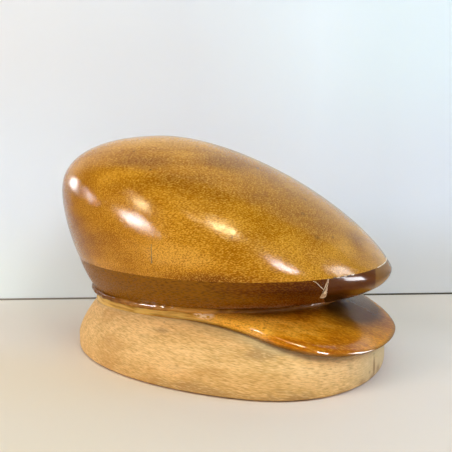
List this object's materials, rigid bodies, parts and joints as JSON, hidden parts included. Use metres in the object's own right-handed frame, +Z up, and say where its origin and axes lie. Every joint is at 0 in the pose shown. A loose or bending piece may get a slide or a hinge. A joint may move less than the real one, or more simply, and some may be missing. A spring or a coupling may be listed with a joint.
{
  "type": "hat block",
  "caption": "Wooden hat block for a peaked flat cap: a swelling varnished crown over a dark band, a cord groove, a carved peak and a raw wood base.",
  "frame": {"origin": "on the bench face, straight below the centre of the head oval", "axes": "+X towards the tip of the peak, +Y to the block's left, +Z up; the block is mirrored in the plane Y = 0"},
  "size_m": [0.2608, 0.2138, 0.1647],
  "materials": {
    "honey_varnish": "honey coloured hardwood under gloss varnish",
    "dark_varnish": "dark brown hardwood under gloss varnish",
    "dark_red_varnish": "dark red-brown hardwood under gloss varnish",
    "amber_varnish": "amber hardwood under gloss varnish",
    "raw_wood": "bare pale hardwood, handled and a little grimy",
    "dowel_wood": "bare beech dowel, glued in and hidden"
  },
  "bodies": {
    "root": {"crown": "honey_varnish", "crown_band": "dark_varnish", "band_nose": "dark_red_varnish", "peak_board": "amber_varnish", "base_block": "raw_wood", "main_dowel_front": "dowel_wood", "main_dowel_back": "dowel_wood", "nose_dowel_left": "dowel_wood", "nose_dowel_right": "dowel_wood", "peak_dowel_left": "dowel_wood", "peak_dowel_right": "dowel_wood"}
  },
  "joints": []
}
